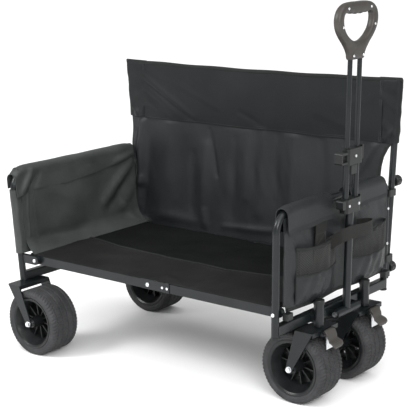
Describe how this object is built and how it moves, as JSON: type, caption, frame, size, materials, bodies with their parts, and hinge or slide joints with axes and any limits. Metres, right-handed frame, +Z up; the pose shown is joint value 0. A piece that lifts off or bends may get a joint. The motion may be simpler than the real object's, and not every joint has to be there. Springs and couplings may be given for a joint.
{
  "type": "wagon with pull handle",
  "caption": "Folding bench wagon with a fabric seat between two armrest hoops, a tall fabric backrest, wide wheels, swivel casters and a telescoping pull handle.",
  "frame": {"origin": "bottom centre of the bounding box, on the floor under the middle of the wagon", "axes": "+X along the wagon towards the pull handle end, +Y across it towards the backrest, +Z up"},
  "size_m": [1.0088, 0.6054, 0.9806],
  "materials": {
    "powder_coat": "satin black powder coat",
    "zinc": "zinc plated",
    "tyre": "matt rubber",
    "rim": "semi gloss black plastic",
    "black_plastic": "moulded black plastic",
    "taupe_plastic": "moulded dark taupe plastic",
    "polyester": "coated charcoal polyester",
    "floor_cloth": "matt dark floor cloth over boards",
    "webbing": "woven black webbing"
  },
  "bodies": {
    "handle_end": {"hoop_right": "powder_coat", "cross_bar_right": "powder_coat", "back_post_right": "powder_coat", "post_clamp_right": "black_plastic", "bolts_right": "zinc", "plastic_caps_right": "black_plastic", "stem_housings": "powder_coat", "handle_clevis": "powder_coat", "end_panel_right": "polyester", "pockets": "polyester", "strap": "webbing", "back_panel": "polyester"},
    "rail_half_right": {"rails_right": "powder_coat", "hinge_channels": "powder_coat", "hinge_fasteners": "zinc", "floor_right": "floor_cloth", "slats_right": "powder_coat", "front_wall_right": "polyester"},
    "rail_half_left": {"rails_left": "powder_coat", "floor_left": "floor_cloth", "slats_left": "powder_coat", "front_wall_left": "polyester"},
    "fixed_end": {"hoop_left": "powder_coat", "cross_bar_left": "powder_coat", "back_post_left": "powder_coat", "post_clamp_left": "black_plastic", "fold_arms_left": "powder_coat", "fold_bolts_left": "zinc", "end_panel_left": "polyester", "forks_left": "powder_coat", "axles_left": "zinc"},
    "knob_a": {"knob_right_high": "black_plastic"},
    "knob_b": {"knob_right_low": "black_plastic"},
    "knob_c": {"knob_left_high": "black_plastic"},
    "knob_d": {"knob_left_low": "black_plastic"},
    "wheel_left_near": {"tyre_left_near": "tyre", "rim_left_near": "rim"},
    "wheel_left_far": {"tyre_left_far": "tyre", "rim_left_far": "rim"},
    "caster_near": {"fork_near": "powder_coat", "axle_near": "zinc"},
    "caster_far": {"fork_far": "powder_coat", "axle_far": "zinc"},
    "wheel_near": {"tyre_near": "tyre", "rim_near": "rim"},
    "wheel_far": {"tyre_far": "tyre", "rim_far": "rim"},
    "pedal_body_near": {"pedal_near": "taupe_plastic", "brake_tongue_near": "zinc"},
    "pedal_body_far": {"pedal_far": "taupe_plastic", "brake_tongue_far": "zinc"},
    "mast": {"handle_mast": "powder_coat", "handle_collars": "black_plastic", "handle_tubes_outer": "powder_coat", "handle_clips": "black_plastic", "handle_screws": "zinc"},
    "grip_stage": {"handle_tubes_inner": "powder_coat", "grip": "taupe_plastic", "grip_screws": "zinc"},
    "flip_lever": {"handle_lever": "black_plastic"}
  },
  "joints": [
    {"name": "fold", "type": "hinge", "parent": "handle_end", "child": "rail_half_right", "pos_m": [0.4164, 0, 0.262], "axis": [0, 1, 0], "range_deg": [0, 68], "deforming": ["back_panel"]},
    {"name": "fold_centre", "type": "hinge", "parent": "rail_half_right", "child": "rail_half_left", "pos_m": [0.0064, 0, 0.262], "axis": [0, 1, 0], "range_deg": [-136, 0]},
    {"name": "fold_left", "type": "hinge", "parent": "rail_half_left", "child": "fixed_end", "pos_m": [-0.4036, 0, 0.262], "axis": [0, 1, 0], "range_deg": [0, 68]},
    {"name": "wheel_left_near_spin", "type": "hinge", "parent": "fixed_end", "child": "wheel_left_near", "pos_m": [-0.3916, -0.24, 0.0925], "axis": [0, 1, 0], "continuous": true},
    {"name": "wheel_left_far_spin", "type": "hinge", "parent": "fixed_end", "child": "wheel_left_far", "pos_m": [-0.3916, 0.24, 0.0925], "axis": [0, 1, 0], "continuous": true},
    {"name": "caster_near_swivel", "type": "hinge", "parent": "handle_end", "child": "caster_near", "pos_m": [0.4444, -0.105, 0.22], "axis": [0, 0, 1], "range_deg": [-22, 120]},
    {"name": "caster_far_swivel", "type": "hinge", "parent": "handle_end", "child": "caster_far", "pos_m": [0.4444, 0.105, 0.22], "axis": [0, 0, 1], "range_deg": [-120, 22]},
    {"name": "wheel_near_spin", "type": "hinge", "parent": "caster_near", "child": "wheel_near", "pos_m": [0.3944, -0.105, 0.0925], "axis": [0, 1, 0], "continuous": true},
    {"name": "wheel_far_spin", "type": "hinge", "parent": "caster_far", "child": "wheel_far", "pos_m": [0.3944, 0.105, 0.0925], "axis": [0, 1, 0], "continuous": true},
    {"name": "brake_near", "type": "hinge", "parent": "caster_near", "child": "pedal_body_near", "pos_m": [0.4714, -0.105, 0.19], "axis": [0, 1, 0], "range_deg": [0, 9]},
    {"name": "brake_far", "type": "hinge", "parent": "caster_far", "child": "pedal_body_far", "pos_m": [0.4714, 0.105, 0.19], "axis": [0, 1, 0], "range_deg": [0, 9]},
    {"name": "handle_pivot", "type": "hinge", "parent": "handle_end", "child": "mast", "pos_m": [0.4564, 0, 0.217], "axis": [0, 1, 0], "range_deg": [0, 92], "deforming": ["strap"]},
    {"name": "handle_slide", "type": "slide", "parent": "mast", "child": "grip_stage", "axis": [0.0305, 0, 0.9995], "range_m": [-0.105, 0]},
    {"name": "lever_flip", "type": "hinge", "parent": "mast", "child": "flip_lever", "pos_m": [0.46868, -0.039, 0.61881], "axis": [-1, 0, 0], "range_deg": [0, 65]},
    {"name": "knob_right_high_turn", "type": "hinge", "parent": "handle_end", "child": "knob_a", "pos_m": [0.42541, 0.2677, 0.493], "axis": [0, 1, 0], "continuous": true},
    {"name": "knob_right_low_turn", "type": "hinge", "parent": "handle_end", "child": "knob_b", "pos_m": [0.4114, 0.2677, 0.255], "axis": [0, 1, 0], "continuous": true},
    {"name": "knob_left_high_turn", "type": "hinge", "parent": "fixed_end", "child": "knob_c", "pos_m": [-0.47382, 0.2677, 0.493], "axis": [0, 1, 0], "continuous": true},
    {"name": "knob_left_low_turn", "type": "hinge", "parent": "fixed_end", "child": "knob_d", "pos_m": [-0.4576, 0.2677, 0.255], "axis": [0, 1, 0], "continuous": true}
  ],
  "couplings": [
    {"joint": "fold_centre", "follows": "fold", "ratio": -2},
    {"joint": "fold_left", "follows": "fold", "ratio": 1}
  ]
}
